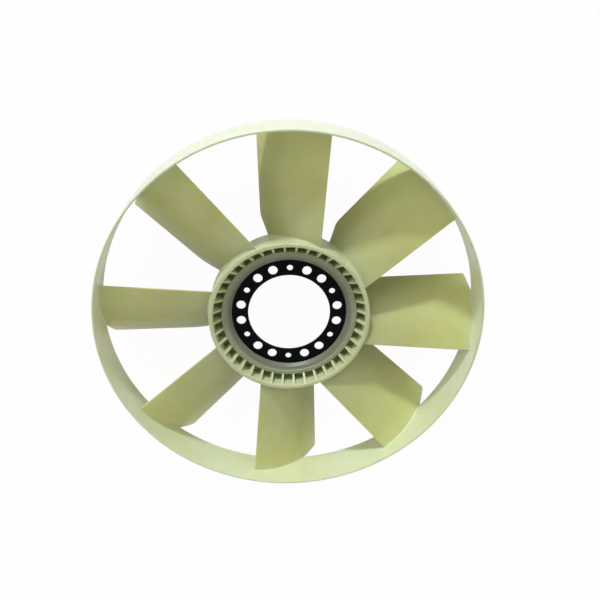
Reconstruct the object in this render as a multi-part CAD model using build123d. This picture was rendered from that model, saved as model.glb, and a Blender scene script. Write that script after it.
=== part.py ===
from build123d import *
from build123d.topology import SkipClean
import os
from math import atan, cos, pi, radians, sin, sqrt, tan

os.makedirs("parts", exist_ok=True)

# Engine cooling fan wheel. Millimetres.
# Z is the axis of rotation, and the fan's front faces +Z.
# Z = 0 is the front face of the steel plate that bolts to the drive.

# Steel plate in the hub
BOLT_CIRCLE_DIA = 178.0
HOLE_PLACES = 18
SMALL_HOLE_EVERY = 3
FIRST_SMALL_HOLE_ANGLE = 90.0
LARGE_HOLE_DIA = 17.0
SMALL_HOLE_DIA = 11.0
PLATE_BORE_DIA = 150.0
PLATE_THICKNESS = 3.0
PLATE_GRIPPED_WIDTH = 9.0

# Hub
HUB_DIA = 291.0
HUB_FRONT_Z = 28.4
HUB_REAR_Z = -33.0
HUB_WALL = 7.5
HUB_RIM_RADIUS = 2.5
GRIP_BORE_DIA = 210.0
GRIP_WIDTH = 18.2
GRIP_FRONT_Z = 10.6
GRIP_REAR_Z = -12.0
SHOULDER_WIDTH = 11.0
SHOULDER_DROP = 1.6
SHOULDER_FOOT = 1.5
SHOULDER_ROUNDING = 6.0
STEP_ROUNDING = 0.8
WEB_FRONT_Z = -8.0
WEB_THICKNESS = 6.0

# Ribs across the hub's front and rear troughs
RIB_COUNT = 40
RIB_THICKNESS = 3.6
RIB_DROP_AT_RIM = 0.8
RIB_PHASE = 4.5

# Blades: offsets are measured across the blade from its radial centre line
BLADE_COUNT = 8
FIRST_BLADE_ANGLE = 90.0
LEADING_OFFSET_AT_HUB = 52.0
LEADING_OFFSET_AT_RING = 63.4
TRAILING_OFFSET_AT_HUB = 51.0
TRAILING_OFFSET_AT_RING = 60.9
LEADING_Z_AT_HUB = 23.6
LEADING_Z_AT_RING = 25.6
TRAILING_Z_AT_HUB = -48.0
TRAILING_Z_AT_RING = -50.4
CAMBER_AT_HUB = 13.0
CAMBER_AT_RING = 14.0
BLADE_THICKNESS_AT_HUB = 5.6
BLADE_THICKNESS_AT_RING = 4.6
BLADE_EDGE_THICKNESS = 3.0
ROOT_FILLET = 5.0
TIP_FILLET = 2.5
FILLET_LEAST = 0.5
FILLET_GROWTH = 0.4
FILLET_SECTIONS = 15

# Corners cut off the trailing edge, at the hub and at the ring
ROOT_CORNER_LENGTH = 36.0
ROOT_CORNER_DEPTH = 12.0
ROOT_CORNER_ROUNDING = 30.0
ROOT_CORNER_HOLLOW = 12.0
TIP_CORNER_LENGTH = 9.8
TIP_CORNER_DEPTH = 22.0
TIP_CORNER_ROUNDING = 4.0
CORNER_LEAD_IN = 16.0
CORNER_CLEARANCE = 0.5

# Ring round the blade tips
RING_BORE_DIA = 680.0
RING_DRAFT = 1.0
RING_FRONT_Z = 56.0
RING_REAR_Z = -21.0
RING_WALL_FRONT = 4.0
RING_WALL_REAR = 6.0
RING_EDGE_ROUNDING = 1.4

# How far a cutting or trimming solid passes a face, and how far a fillet's bead is sunk in both faces
PAST = 2.0
SUNK = 0.2
BEAD_ROOT = 1.2

hub_radius = HUB_DIA / 2
trough_outer_radius = hub_radius - HUB_WALL
grip_radius = GRIP_BORE_DIA / 2
trough_inner_radius = grip_radius + GRIP_WIDTH
web_rear_z = WEB_FRONT_Z - WEB_THICKNESS
ring_radius = RING_BORE_DIA / 2
ring_outer_radius = ring_radius + RING_WALL_REAR

# Stations along the blade where its leading edge meets the hub and the ring
hub_station = sqrt(hub_radius**2 - LEADING_OFFSET_AT_HUB**2)
ring_station = sqrt(ring_radius**2 - LEADING_OFFSET_AT_RING**2)


def ring_solid(corners, roundings):
    """Solid of revolution about Z from a closed outline of (radius, z) corners."""
    points = [(radius, 0, z) for radius, z in corners]
    outline = FilletPolyline(*points, radius=roundings, close=True)
    return revolve(make_face(outline), axis=Axis.Z)


def tube(inner_radius, outer_radius, low, high):
    """Plain tube about Z between two heights."""
    corners = [(inner_radius, low), (outer_radius, low), (outer_radius, high), (inner_radius, high)]
    return ring_solid(corners, 0)


def hub_insert_plate():
    """Flat steel ring with its bore and its single circle of bolt holes.

    The bare ring inside the grip, where a drive's flange seats, has faces of its own, apart from those
    of the margin in the moulding.
    """
    plate_radius = grip_radius + PLATE_GRIPPED_WIDTH
    holes = []
    for place in range(HOLE_PLACES):
        is_small = place % SMALL_HOLE_EVERY == 0
        hole_radius = (SMALL_HOLE_DIA if is_small else LARGE_HOLE_DIA) / 2
        angle = FIRST_SMALL_HOLE_ANGLE + place * 360 / HOLE_PLACES
        hole = Cylinder(hole_radius, PLATE_THICKNESS + 2 * PAST)
        holes.append(Rot(0, 0, angle) * Pos(BOLT_CIRCLE_DIA / 2, 0, -PLATE_THICKNESS / 2) * hole)
    bare_ring = tube(PLATE_BORE_DIA / 2, grip_radius, -PLATE_THICKNESS, 0) - holes
    margin = tube(grip_radius, plate_radius, -PLATE_THICKNESS, 0)
    with SkipClean():
        return bare_ring + margin


def hub_body():
    """Grip round the plate, web and outer wall, as one turned profile."""
    shoulder_radius = grip_radius + SHOULDER_WIDTH
    shoulder_z = GRIP_FRONT_Z - SHOULDER_DROP
    corners = [
        (grip_radius, GRIP_REAR_Z),
        (grip_radius, SHOULDER_FOOT),
        (grip_radius + SHOULDER_WIDTH / 2, shoulder_z),
        (shoulder_radius, shoulder_z),
        (shoulder_radius + SHOULDER_DROP / 2, GRIP_FRONT_Z),
        (trough_inner_radius, GRIP_FRONT_Z),
        (trough_inner_radius, WEB_FRONT_Z),
        (trough_outer_radius, WEB_FRONT_Z),
        (trough_outer_radius, HUB_FRONT_Z),
        (hub_radius, HUB_FRONT_Z),
        (hub_radius, HUB_REAR_Z),
        (trough_outer_radius, HUB_REAR_Z),
        (trough_outer_radius, web_rear_z),
        (trough_inner_radius, web_rear_z),
        (trough_inner_radius, GRIP_REAR_Z),
    ]
    rim = HUB_RIM_RADIUS
    step = STEP_ROUNDING
    front = [step, step, SHOULDER_ROUNDING, step, step, step, step, step, rim / 2, rim]
    rear = [step, step, step, step, 0]
    return ring_solid(corners, front + rear)


def rib_profile(side_z, grip_z, web_z, drop):
    """Outline of one rib in the plane through the axis: it falls from the rim to the grip."""
    overlap = HUB_WALL / 2
    return [
        (trough_inner_radius - overlap, 0, web_z),
        (trough_outer_radius + overlap, 0, web_z),
        (trough_outer_radius + overlap, 0, side_z - drop),
        (trough_outer_radius, 0, side_z - drop),
        (trough_inner_radius, 0, grip_z),
        (trough_inner_radius - overlap, 0, grip_z),
    ]


def hub_ribs():
    """Ribs across the front trough and across the rear trough."""
    middle_z = WEB_FRONT_Z - WEB_THICKNESS / 2
    front = rib_profile(HUB_FRONT_Z, GRIP_FRONT_Z - STEP_ROUNDING, middle_z, RIB_DROP_AT_RIM)
    rear = rib_profile(HUB_REAR_Z, GRIP_REAR_Z + STEP_ROUNDING, middle_z, -RIB_DROP_AT_RIM)
    one_place = []
    for outline in (front, rear):
        face = make_face(Polyline(*outline, close=True))
        one_place.append(extrude(face, amount=RIB_THICKNESS / 2, both=True))
    ribs = []
    for place in range(RIB_COUNT):
        turn = Rot(0, 0, RIB_PHASE + place * 360 / RIB_COUNT)
        ribs += [turn * rib for rib in one_place]
    return ribs


def along_blade(at_hub, at_ring, station):
    """Value that changes evenly from the hub's station to the ring's."""
    share = (station - hub_station) / (ring_station - hub_station)
    return at_hub + share * (at_ring - at_hub)


def blade_section(station):
    """Cambered section with round edges, on the plane X = station."""
    edge_radius = BLADE_EDGE_THICKNESS / 2
    half_thickness = along_blade(BLADE_THICKNESS_AT_HUB, BLADE_THICKNESS_AT_RING, station) / 2
    camber = along_blade(CAMBER_AT_HUB, CAMBER_AT_RING, station)
    leading = Vector(
        station,
        -along_blade(LEADING_OFFSET_AT_HUB, LEADING_OFFSET_AT_RING, station),
        along_blade(LEADING_Z_AT_HUB, LEADING_Z_AT_RING, station),
    )
    trailing = Vector(
        station,
        along_blade(TRAILING_OFFSET_AT_HUB, TRAILING_OFFSET_AT_RING, station),
        along_blade(TRAILING_Z_AT_HUB, TRAILING_Z_AT_RING, station),
    )
    chord = (trailing - leading).normalized()
    outward = Vector(1, 0, 0).cross(chord)
    end_slope = 2 * atan(2 * camber / (trailing - leading).length)
    middle = (leading + trailing) / 2 + outward * camber

    def end(tip, side):
        """Points above and below a round end; side is 1 at the leading end and -1 at the trailing."""
        inward = chord * (side * cos(end_slope)) + outward * sin(end_slope)
        upward = outward * cos(end_slope) - chord * (side * sin(end_slope))
        centre = tip + inward * edge_radius
        return centre + upward * edge_radius, centre - upward * edge_radius

    leading_top, leading_under = end(leading, 1)
    trailing_top, trailing_under = end(trailing, -1)
    edges = [
        ThreePointArc(leading_top, middle + outward * half_thickness, trailing_top),
        ThreePointArc(trailing_top, trailing, trailing_under),
        ThreePointArc(trailing_under, middle - outward * half_thickness, leading_under),
        ThreePointArc(leading_under, leading, leading_top),
    ]
    return Face(Wire(edges))


def corner_cutter(points, roundings):
    """Upright prism that takes a corner off the blade, from its outline seen along the axis."""
    outline = FilletPolyline(*points, radius=roundings, close=True)
    low = TRAILING_Z_AT_RING - CAMBER_AT_RING
    return Pos(0, 0, low) * extrude(make_face(outline), amount=RING_FRONT_Z - low)


def trailing_offset(station):
    """Distance of the trailing edge from the blade's centre line."""
    return along_blade(TRAILING_OFFSET_AT_HUB, TRAILING_OFFSET_AT_RING, station)


def root_corner(inner_station, clear):
    """Cut at the trailing edge's hub end, with a hollow at the hub and a soft knee."""
    offset = TRAILING_OFFSET_AT_HUB - ROOT_CORNER_DEPTH
    meets_hub = sqrt(hub_radius**2 - offset**2)
    knee = hub_station + ROOT_CORNER_LENGTH
    knee_end = knee + ROOT_CORNER_ROUNDING
    points = [
        (inner_station - PAST, offset),
        (meets_hub, offset),
        (knee, trailing_offset(knee)),
        (knee_end, trailing_offset(knee_end) + PAST),
        (knee_end, clear),
        (inner_station - PAST, clear),
    ]
    return corner_cutter(points, [0, ROOT_CORNER_HOLLOW, ROOT_CORNER_ROUNDING, 0, 0, 0])


def tip_corner(outer_station, clear):
    """Cut at the trailing edge's ring end, down to the ring's rear edge."""
    offset = TRAILING_OFFSET_AT_RING - TIP_CORNER_DEPTH
    corner = sqrt(ring_radius**2 - offset**2) - TIP_CORNER_LENGTH
    lead_in = corner - CORNER_LEAD_IN
    slope = (offset - trailing_offset(corner)) / TIP_CORNER_LENGTH
    past_tip = outer_station + PAST
    points = [
        (lead_in, trailing_offset(lead_in) + CORNER_CLEARANCE),
        (corner, trailing_offset(corner) + CORNER_CLEARANCE),
        (past_tip, trailing_offset(corner) + slope * (past_tip - corner)),
        (past_tip, clear),
        (lead_in, clear),
    ]
    return corner_cutter(points, [0, TIP_CORNER_ROUNDING, 0, 0, 0])


def space_between_walls():
    """Room between the hub's wall and the ring's inner face, with its seam away from the blade."""
    low = TRAILING_Z_AT_RING - CAMBER_AT_RING
    corners = [
        (hub_radius, low),
        (ring_radius, low),
        (ring_radius, RING_REAR_Z),
        (ring_radius + RING_DRAFT, RING_FRONT_Z),
        (hub_radius, RING_FRONT_Z),
    ]
    return Rot(0, 0, 180) * ring_solid(corners, 0)


def end_face(body, radius):
    """The blade's face against the wall of this radius."""
    near = []
    for face in body.faces():
        centre = face.center()
        if abs(Vector(centre.X, centre.Y, 0).length - radius) < PAST:
            near.append(face)
    return max(near, key=lambda face: face.area)


def fillet_section(point, blade_normal, wall_normal, size):
    """Section of the bead that rounds the corner between the blade and a wall."""
    along = blade_normal.cross(wall_normal).normalized()
    up_blade = along.cross(blade_normal)
    if up_blade.dot(wall_normal) < 0:
        up_blade = -up_blade
    over_wall = wall_normal.cross(along)
    if over_wall.dot(blade_normal) < 0:
        over_wall = -over_wall
    half_angle = radians(up_blade.get_angle(over_wall)) / 2
    reach = size / tan(half_angle)
    on_blade = point + up_blade * reach - blade_normal * SUNK
    on_wall = point + over_wall * reach - wall_normal * SUNK
    middle = point + (up_blade + over_wall).normalized() * (size / sin(half_angle) - size)
    inside = point - (blade_normal + wall_normal) * BEAD_ROOT
    edges = [ThreePointArc(on_blade, middle, on_wall), Line(on_wall, inside), Line(inside, on_blade)]
    return Face(Wire(edges))


def fillet_bead(edge, face, end, size, low, high):
    """Bead along one edge of the blade's end; it thins out at its ends and at the wall's edges."""
    sections = []
    for place in range(FILLET_SECTIONS):
        share = (1 - cos(pi * place / (FILLET_SECTIONS - 1))) / 2
        point = edge.position_at(share)
        from_end = min(share, 1 - share) * edge.length
        room = min(high - point.Z, point.Z - low)
        held = min(size, FILLET_LEAST + FILLET_GROWTH * from_end, max(room, FILLET_LEAST))
        sections.append(fillet_section(point, face.normal_at(point), -end.normal_at(point), held))
    return loft(sections)


def fillet_beads(body, end, size, low, high):
    """Beads along the blade's two cambered faces where they meet a wall."""
    cambered = body.faces().filter_by(GeomType.BSPLINE).sort_by(SortBy.AREA)[-2:]
    beads = []
    for face in cambered:
        for edge in end.edges():
            if any(edge.is_same(other) for other in face.edges()):
                beads.append(fillet_bead(edge, face, end, size, low, high))
    return beads


def blade():
    """One blade about the X axis, reaching into the hub's wall and the ring's wall."""
    root_cut = hub_radius - HUB_WALL / 2
    tip_cut = ring_radius + RING_WALL_FRONT / 2
    inner_station = sqrt(root_cut**2 - LEADING_OFFSET_AT_HUB**2) - PAST
    outer_station = tip_cut + PAST
    body = loft([blade_section(inner_station), blade_section(outer_station)], ruled=True)
    clear = TRAILING_OFFSET_AT_RING + TIP_CORNER_DEPTH
    body -= root_corner(inner_station, clear)
    body -= tip_corner(outer_station, clear)

    between = body & space_between_walls()
    root_end = end_face(between, hub_radius)
    tip_end = end_face(between, ring_radius)
    beads = fillet_beads(between, root_end, ROOT_FILLET, HUB_REAR_Z, HUB_FRONT_Z - HUB_RIM_RADIUS)
    beads += fillet_beads(between, tip_end, TIP_FILLET, RING_REAR_Z, RING_FRONT_Z)
    reach = tube(root_cut, tip_cut, 2 * TRAILING_Z_AT_RING, RING_FRONT_Z)
    return (body & reach).fuse(*beads)


def outer_ring():
    """Ring round the blade tips, a little wider inside at its front and thicker at its rear."""
    front_bore = ring_radius + RING_DRAFT
    corners = [
        (ring_radius, RING_REAR_Z),
        (ring_outer_radius, RING_REAR_Z),
        (front_bore + RING_WALL_FRONT, RING_FRONT_Z),
        (front_bore, RING_FRONT_Z),
    ]
    return ring_solid(corners, RING_EDGE_ROUNDING)


def fan_moulding():
    """Hub, ribs, blades and ring as the single moulding, with the plate's seat left in it."""
    one_blade = blade()
    blades = []
    for place in range(BLADE_COUNT):
        blades.append(Rot(0, 0, FIRST_BLADE_ANGLE - place * 360 / BLADE_COUNT) * one_blade)
    moulding = hub_body().fuse(*hub_ribs(), *blades, outer_ring())
    seat = tube(grip_radius - PAST, grip_radius + PLATE_GRIPPED_WIDTH, -PLATE_THICKNESS, 0)
    return moulding - seat


plate = hub_insert_plate()
moulding = fan_moulding()
export_step(plate, "parts/hub_insert_plate.step")
export_step(moulding, "parts/fan_moulding.step")
for name, piece in (("plate", plate), ("moulding", moulding)):
    box = piece.bounding_box()
    print(name, len(piece.solids()), "solid", round(piece.volume / 1000, 1), "cm3", box.size)
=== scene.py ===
# %% [markdown]
# # A moulded engine cooling fan
#
# This lesson dresses an axial fan wheel. On the real thing a black steel plate is laid in a mould
# and nylon is injected round it, so hub, ribs, blades and outer ring come out as one piece. The solid
# model already has every shape at its real size. What is left for Blender is what the eye reads as
# nylon and coated steel: colour, gloss, the light that soaks into the plastic, and the lamps.

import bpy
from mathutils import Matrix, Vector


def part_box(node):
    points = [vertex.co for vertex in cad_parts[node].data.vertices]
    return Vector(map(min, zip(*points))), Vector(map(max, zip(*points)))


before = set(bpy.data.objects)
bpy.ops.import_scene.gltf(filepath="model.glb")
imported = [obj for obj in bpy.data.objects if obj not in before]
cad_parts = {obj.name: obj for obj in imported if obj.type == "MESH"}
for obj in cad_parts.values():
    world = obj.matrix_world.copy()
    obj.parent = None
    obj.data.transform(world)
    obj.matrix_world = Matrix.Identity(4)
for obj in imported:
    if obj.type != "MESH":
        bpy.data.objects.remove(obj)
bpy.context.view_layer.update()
print("pieces:", sorted(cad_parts))

# %% Libraries and units
from math import cos, radians, sin

import bmesh
import bpy
from mathutils import Matrix, Vector

MM = 0.001

# %% [markdown]
# ## Where the pieces are
#
# The Z axis is the fan's axis of rotation and Z = 0 is the front face of the steel plate. The floor's
# height and size are read from the pieces' own boxes, so the floor follows if the solid model changes.

# %% Heights and radii read from the pieces
moulding_low, moulding_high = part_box("fan_moulding")
plate_low, plate_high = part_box("hub_insert_plate")
ring_radius = moulding_high.x
plate_radius = plate_high.x
print("ring radius", round(ring_radius / MM), "mm, plate radius", round(plate_radius / MM), "mm")

# %% [markdown]
# ## Colours and nodes
#
# Colours are written as the hex values that a colour picker shows. Blender's shaders work in linear
# light, so one function turns hex into linear. Another small function adds a shader node, sets it and
# wires it, which keeps each material short enough to read.


# %% Helpers for colours and shader nodes
def colour(hex_code):
    """Linear RGBA of an sRGB hex colour."""
    channels = [int(hex_code[place : place + 2], 16) / 255 for place in (1, 3, 5)]
    linear = [c / 12.92 if c <= 0.04045 else ((c + 0.055) / 1.055) ** 2.4 for c in channels]
    return (*linear, 1.0)


def add_node(tree, kind, settings=None, links=None):
    """A new node. Settings are its properties or its inputs, and links fill inputs from outputs."""
    node = tree.nodes.new(kind)
    for name, value in (settings or {}).items():
        if isinstance(name, str) and hasattr(node, name):
            setattr(node, name, value)
        else:
            node.inputs[name].default_value = value
    for name, source in (links or {}).items():
        tree.links.new(source, node.inputs[name])
    return node


def new_material(name):
    """An empty material and its node tree."""
    material = bpy.data.materials.new(name)
    material.use_nodes = True
    material.node_tree.nodes.clear()
    return material, material.node_tree


# A Mix node has a set of inputs for each kind of data: these are the places of its two colours
MIX_A = 6
MIX_B = 7
MIX_RESULT = 2


def blend(tree, share, first, second):
    """Colour that goes from first to second with share; each is a plain colour or an output."""
    settings = {"data_type": "RGBA"}
    links = {"Factor": share}
    for socket, value in ((MIX_A, first), (MIX_B, second)):
        target = links if isinstance(value, bpy.types.NodeSocket) else settings
        target[socket] = value
    return add_node(tree, "ShaderNodeMix", settings, links).outputs[MIX_RESULT]


def tint(tree, share, base, stain):
    """Base colour multiplied by a stain, as far as share says."""
    settings = {"data_type": "RGBA", "blend_type": "MULTIPLY", MIX_B: stain}
    return add_node(tree, "ShaderNodeMix", settings, {"Factor": share, MIX_A: base}).outputs[MIX_RESULT]


# %% [markdown]
# ## Natural nylon
#
# The moulding is polyamide with no pigment, so it has the resin's own colour: cream with a green cast.
# Nylon is cloudy, not opaque. Light enters, scatters a few millimetres and comes out again, so shadows
# on the thin blades stay warm and never go black. A subsurface shader does that. How deep the colour
# looks depends on how thick the wall is and what lies behind it. Each lies at its own distance from the
# axis, so one ramp along the radius sets the colour, and it holds painted light and shade as well as the
# resin's own colour: the grey skin round the steel plate is partly the steel showing through and partly
# painted shade, the blades' darkening towards their roots is painted shade near the hub, their deeper
# green is painted light shining through them, and the nearly white ring is partly painted light. The
# ribbed hub is pale. The satin skin is taken as the even grain of a spark eroded mould. Where the resin
# flowed it leaves faint clouds and streaks, so two slow noises tint the colour.

# %% Natural nylon, injection moulded
# Partly painted light and shade: the grey stops up to 121 mm are the steel showing through and painted
# shade, the darker stops from 146.5 to 230 mm are painted shade near the hub, the blades' green is painted
# light shining through them, and the pale ring stops are partly painted light.
NYLON_AND_PAINTED_SHADING_AT_RADIUS = (
    (0.0, "#71735f"),
    (111.5, "#6b6e5a"),
    (113.5, "#8b9176"),
    (121.0, "#989e7f"),
    (126.0, "#c2c697"),
    (143.0, "#c4c89c"),
    (146.5, "#bbc093"),
    (149.0, "#aeb17f"),
    (165.0, "#b9bb82"),
    (230.0, "#bebf7b"),
    (285.0, "#cacc85"),
    (325.0, "#d2d48c"),
    (341.5, "#cdd1a8"),
    (343.5, "#d6d9b8"),
    (346.0, "#d8dbc3"),
)
NYLON_WARM_TINT = colour("#fffcf4")
NYLON_GREEN_TINT = colour("#f7fcee")
CLOUD_SIZE = 90 * MM
STREAK_SIZE = 24 * MM
GRAIN_SIZE = 1.2 * MM
WAVE_SIZE = 35 * MM
SCATTER_DEPTH = 3 * MM


def radius_colour_and_painted_shading(tree, place):
    """Colour of the nylon at this distance from the fan's axis: partly its own colour, partly painted light
    and shade.
    """
    flat = add_node(tree, "ShaderNodeVectorMath", {"operation": "MULTIPLY", 1: (1, 1, 0)}, {0: place})
    from_axis = add_node(tree, "ShaderNodeVectorMath", {"operation": "LENGTH"}, {0: flat.outputs["Vector"]})
    distance = from_axis.outputs["Value"]
    share = add_node(tree, "ShaderNodeMapRange", {"From Max": ring_radius}, {"Value": distance})
    ramp = add_node(tree, "ShaderNodeValToRGB", links={"Fac": share.outputs["Result"]})
    stops = ramp.color_ramp.elements
    stops.remove(stops[1])
    stops[0].color = colour(NYLON_AND_PAINTED_SHADING_AT_RADIUS[0][1])
    for radius, hex_code in NYLON_AND_PAINTED_SHADING_AT_RADIUS[1:]:
        stops.new(radius * MM / ring_radius).color = colour(hex_code)
    return ramp.outputs["Color"]


def natural_nylon():
    """Cloudy cream nylon with a satin, finely grained skin."""
    material, tree = new_material("natural_nylon_moulded")
    place = add_node(tree, "ShaderNodeTexCoord").outputs["Object"]
    on_piece = {"Vector": place}
    cloud = add_node(tree, "ShaderNodeTexNoise", {"Scale": 1 / CLOUD_SIZE, "Detail": 2.0}, on_piece)
    streak = add_node(tree, "ShaderNodeTexNoise", {"Scale": 1 / STREAK_SIZE, "Detail": 3.0}, on_piece)
    grain = add_node(tree, "ShaderNodeTexNoise", {"Scale": 1 / GRAIN_SIZE, "Detail": 2.0}, on_piece)
    wave = add_node(tree, "ShaderNodeTexNoise", {"Scale": 1 / WAVE_SIZE, "Detail": 1.0}, on_piece)

    clouds = {"Value": cloud.outputs["Fac"]}
    streaks = {"Value": streak.outputs["Fac"]}
    warm_share = add_node(tree, "ShaderNodeMapRange", {"From Min": 0.35, "From Max": 0.65}, clouds)
    green_share = add_node(tree, "ShaderNodeMapRange", {"From Min": 0.4, "From Max": 0.7}, streaks)
    # The radius ramp paints light and shade into the nylon's colour as well as giving its own tint.
    resin_and_painted_shading = radius_colour_and_painted_shading(tree, place)
    resin_and_painted_shading = tint(tree, warm_share.outputs["Result"], resin_and_painted_shading, NYLON_WARM_TINT)
    resin_and_painted_shading = tint(tree, green_share.outputs["Result"], resin_and_painted_shading, NYLON_GREEN_TINT)

    roughness = add_node(tree, "ShaderNodeMapRange", {"To Min": 0.36, "To Max": 0.5}, streaks)
    wave_height = {"Height": wave.outputs["Fac"]}
    waves = add_node(tree, "ShaderNodeBump", {"Strength": 0.5, "Distance": 0.25 * MM}, wave_height)
    skin = add_node(
        tree,
        "ShaderNodeBump",
        {"Strength": 0.25, "Distance": 0.03 * MM},
        {"Height": grain.outputs["Fac"], "Normal": waves.outputs["Normal"]},
    )
    shader = add_node(
        tree,
        "ShaderNodeBsdfPrincipled",
        {
            "IOR": 1.53,
            "Specular IOR Level": 0.5,
            "Sheen Weight": 0.3,
            "Sheen Roughness": 0.5,
            "Subsurface Weight": 0.2,
            "Subsurface Radius": (1.0, 1.0, 0.45),
            "Subsurface Scale": SCATTER_DEPTH,
        },
        {"Base Color": resin_and_painted_shading, "Roughness": roughness.outputs["Result"], "Normal": skin.outputs["Normal"]},
    )
    add_node(tree, "ShaderNodeOutputMaterial", links={"Surface": shader.outputs["BSDF"]})
    return material


nylon = natural_nylon()
print("nylon nodes:", len(nylon.node_tree.nodes))

# %% [markdown]
# ## Black coated steel
#
# The plate is punched from sheet and dipped in a black electrocoat. The coat is thin and even, so it
# hides the metal: it is a dark, satin, slightly uneven dielectric film. A very fine noise breaks up the
# gloss as the rolled sheet under the coat does.

# %% Electrocoated steel
COAT = colour("#030304")
COAT_WORN = colour("#07080a")
COAT_CLOUD_SIZE = 18 * MM
COAT_PEEL_SIZE = 1.5 * MM


def black_coated_steel():
    """Satin black electrocoat on punched sheet steel."""
    material, tree = new_material("black_electrocoated_steel")
    place = add_node(tree, "ShaderNodeTexCoord").outputs["Object"]
    on_piece = {"Vector": place}
    cloud = add_node(tree, "ShaderNodeTexNoise", {"Scale": 1 / COAT_CLOUD_SIZE, "Detail": 4.0}, on_piece)
    peel = add_node(tree, "ShaderNodeTexNoise", {"Scale": 1 / COAT_PEEL_SIZE, "Detail": 1.0}, on_piece)
    clouds = {"Value": cloud.outputs["Fac"]}
    worn_share = add_node(tree, "ShaderNodeMapRange", {"From Min": 0.5, "From Max": 0.8}, clouds)
    film = blend(tree, worn_share.outputs["Result"], COAT, COAT_WORN)
    roughness = add_node(tree, "ShaderNodeMapRange", {"To Min": 0.38, "To Max": 0.55}, clouds)
    peel_height = {"Height": peel.outputs["Fac"]}
    skin = add_node(tree, "ShaderNodeBump", {"Strength": 0.2, "Distance": 0.03 * MM}, peel_height)
    shader = add_node(
        tree,
        "ShaderNodeBsdfPrincipled",
        {"IOR": 1.5, "Specular IOR Level": 0.12},
        {"Base Color": film, "Roughness": roughness.outputs["Result"], "Normal": skin.outputs["Normal"]},
    )
    add_node(tree, "ShaderNodeOutputMaterial", links={"Surface": shader.outputs["BSDF"]})
    return material


steel = black_coated_steel()
print("steel nodes:", len(steel.node_tree.nodes))

# %% [markdown]
# ## Dressing the pieces
#
# The solid model's shapes are right, so each piece keeps its mesh and only gets its finish.

# %% Give each piece its finish
for name, finish in (("fan_moulding", nylon), ("hub_insert_plate", steel)):
    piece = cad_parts[name]
    piece.data.materials.clear()
    piece.data.materials.append(finish)
    print(name, len(piece.data.polygons), "faces, finish", finish.name)

# %% [markdown]
# ## The floor
#
# The fan lies on a plain white floor, on the tips of its blades' trailing edges. The floor has to come
# out white without more light on the fan, so most of its brightness is an emission that only the camera
# and mirror-like rays see. The rest is plain diffuse white, which keeps the soft shadow under the fan.

# %% White floor
FLOOR_HALF_WIDTH = 12 * ring_radius
FLOOR_OWN_WHITE = 0.97
FLOOR_PAINT = colour("#f4f4f4")


def white_floor_finish():
    """Diffuse white that looks nearly evenly lit to the camera."""
    material, tree = new_material("white_floor")
    path = add_node(tree, "ShaderNodeLightPath").outputs
    either = {"operation": "MAXIMUM"}
    two_rays = {0: path["Is Camera Ray"], 1: path["Is Glossy Ray"]}
    seen = add_node(tree, "ShaderNodeMath", either, two_rays).outputs["Value"]
    third_ray = {0: seen, 1: path["Is Transmission Ray"]}
    seen = add_node(tree, "ShaderNodeMath", either, third_ray).outputs["Value"]
    share = add_node(tree, "ShaderNodeMath", {"operation": "MULTIPLY", 1: FLOOR_OWN_WHITE}, {0: seen})
    paint = add_node(tree, "ShaderNodeBsdfDiffuse", {"Color": FLOOR_PAINT})
    glow = add_node(tree, "ShaderNodeEmission", {"Color": (1, 1, 1, 1), "Strength": 1.0})
    both = add_node(
        tree,
        "ShaderNodeMixShader",
        links={"Fac": share.outputs["Value"], 1: paint.outputs["BSDF"], 2: glow.outputs["Emission"]},
    )
    add_node(tree, "ShaderNodeOutputMaterial", links={"Surface": both.outputs["Shader"]})
    return material


def white_floor():
    """Large square just under the fan's lowest point."""
    shape = bmesh.new()
    bmesh.ops.create_grid(shape, x_segments=1, y_segments=1, size=FLOOR_HALF_WIDTH)
    bmesh.ops.translate(shape, vec=(0, 0, moulding_low.z), verts=shape.verts)
    mesh = bpy.data.meshes.new("floor")
    shape.to_mesh(mesh)
    shape.free()
    floor = bpy.data.objects.new("floor", mesh)
    bpy.context.collection.objects.link(floor)
    mesh.materials.append(white_floor_finish())
    return floor


floor = white_floor()
print("floor at", round(moulding_low.z / MM, 1), "mm")

# %% [markdown]
# ## Lamps
#
# One lamp does most of the work. It comes in low from above the picture and a little from the left, so
# the ring's front edge throws a shadow across the top blades, each blade shades the next and the hub's
# rim shades the pockets. A broad, weaker lamp further round to the left softens those shadows, and
# white light from all round lifts them, as a bright room does. The ceiling behind the camera is darker
# than the walls, which keeps the pockets deep and the plate black.

# %% Key lamp, fill lamp and white surroundings
KEY_HEIGHT = radians(14)
KEY_TURN = radians(-13)
KEY_SPREAD = radians(5)
KEY_STRENGTH = 2.25
KEY_COLOUR = colour("#dfebff")
FILL_HEIGHT = radians(35)
FILL_TURN = radians(-35)
FILL_SPREAD = radians(40)
FILL_STRENGTH = 0.35
FILL_COLOUR = colour("#ffffff")
WALL_STRENGTH = 1.0
CEILING_STRENGTH = 0.25
CEILING_STARTS = sin(radians(30))
CEILING_FULL = sin(radians(60))


def distant_lamp(name, height, turn, spread, strength, light_colour):
    """Sun lamp above the plane of the ring; turn is measured from +Y towards +X."""
    lamp = bpy.data.lights.new(name, "SUN")
    lamp.energy = strength
    lamp.color = light_colour[:3]
    lamp.angle = spread
    holder = bpy.data.objects.new(name, lamp)
    bpy.context.collection.objects.link(holder)
    towards = Vector((sin(turn) * cos(height), cos(turn) * cos(height), sin(height)))
    holder.rotation_euler = towards.to_track_quat("Z", "Y").to_euler()
    return holder


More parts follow.
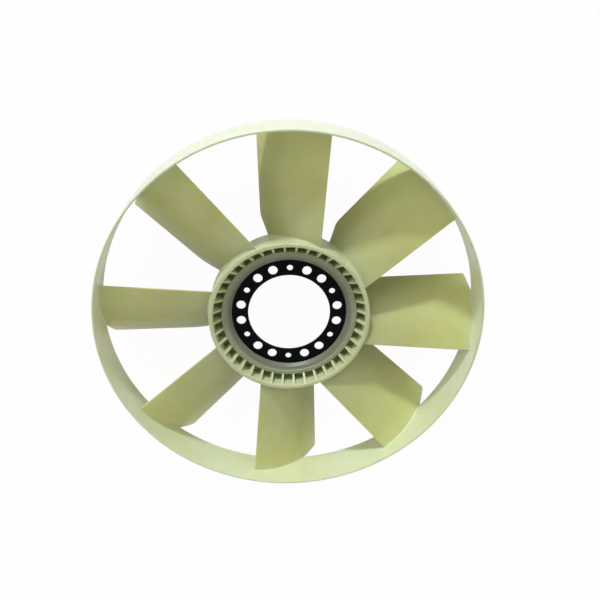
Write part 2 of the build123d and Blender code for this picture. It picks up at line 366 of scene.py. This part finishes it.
def white_room():
    """White light from the walls, less of it from the ceiling, and pure white for the camera."""
    world = bpy.data.worlds.new("white_room")
    world.use_nodes = True
    tree = world.node_tree
    tree.nodes.clear()
    direction = add_node(tree, "ShaderNodeTexCoord").outputs["Generated"]
    height = add_node(tree, "ShaderNodeSeparateXYZ", links={"Vector": direction}).outputs["Z"]
    room = add_node(
        tree,
        "ShaderNodeMapRange",
        {
            "From Min": CEILING_STARTS,
            "From Max": CEILING_FULL,
            "To Min": WALL_STRENGTH,
            "To Max": CEILING_STRENGTH,
            "interpolation_type": "SMOOTHSTEP",
        },
        {"Value": height},
    )
    seen = add_node(tree, "ShaderNodeLightPath").outputs["Is Camera Ray"]
    levels = {"Value": seen, "To Min": room.outputs["Result"]}
    strength = add_node(tree, "ShaderNodeMapRange", {"To Max": 1.0}, levels).outputs["Result"]
    light = add_node(tree, "ShaderNodeBackground", {"Color": (1, 1, 1, 1)}, {"Strength": strength})
    add_node(tree, "ShaderNodeOutputWorld", links={"Surface": light.outputs["Background"]})
    bpy.context.scene.world = world


distant_lamp("key", KEY_HEIGHT, KEY_TURN, KEY_SPREAD, KEY_STRENGTH, KEY_COLOUR)
distant_lamp("fill", FILL_HEIGHT, FILL_TURN, FILL_SPREAD, FILL_STRENGTH, FILL_COLOUR)
white_room()
bpy.context.scene.view_settings.view_transform = "Standard"
print("lamps", KEY_STRENGTH, FILL_STRENGTH, "walls", WALL_STRENGTH, "ceiling", CEILING_STRENGTH)

# %% [markdown]
# ## Camera
#
# The picture looks at the fan's front, about 25 degrees off the axis, from the side of the +Y blade.
# The camera's place and the point that it aims at are real distances, found from the bolt holes. Its
# up direction is +Y with a small roll.

# %% Camera
CAMERA_PLACE = Vector((-39.1, 563.2, 1175.7)) * MM
CAMERA_AIM = Vector((19.3, 26.0, 0.0)) * MM
CAMERA_ROLL = radians(1.48)
CAMERA_LENS = 42.64
SENSOR_WIDTH = 36.0


def photo_camera():
    """Camera at the picture's viewing angle, with +Y upwards in the picture."""
    back = (CAMERA_PLACE - CAMERA_AIM).normalized()
    right = Vector((0, 1, 0)).cross(back).normalized()
    upward = back.cross(right)
    turn = Matrix((right, upward, back)).transposed() @ Matrix.Rotation(CAMERA_ROLL, 3, "Z")
    lens = bpy.data.cameras.new("camera")
    lens.lens = CAMERA_LENS
    lens.sensor_width = SENSOR_WIDTH
    camera = bpy.data.objects.new("camera", lens)
    camera.matrix_world = Matrix.Translation(CAMERA_PLACE) @ turn.to_4x4()
    bpy.context.collection.objects.link(camera)
    return camera


bpy.context.scene.camera = photo_camera()
print("camera", round((CAMERA_PLACE - CAMERA_AIM).length / MM), "mm from the plate")
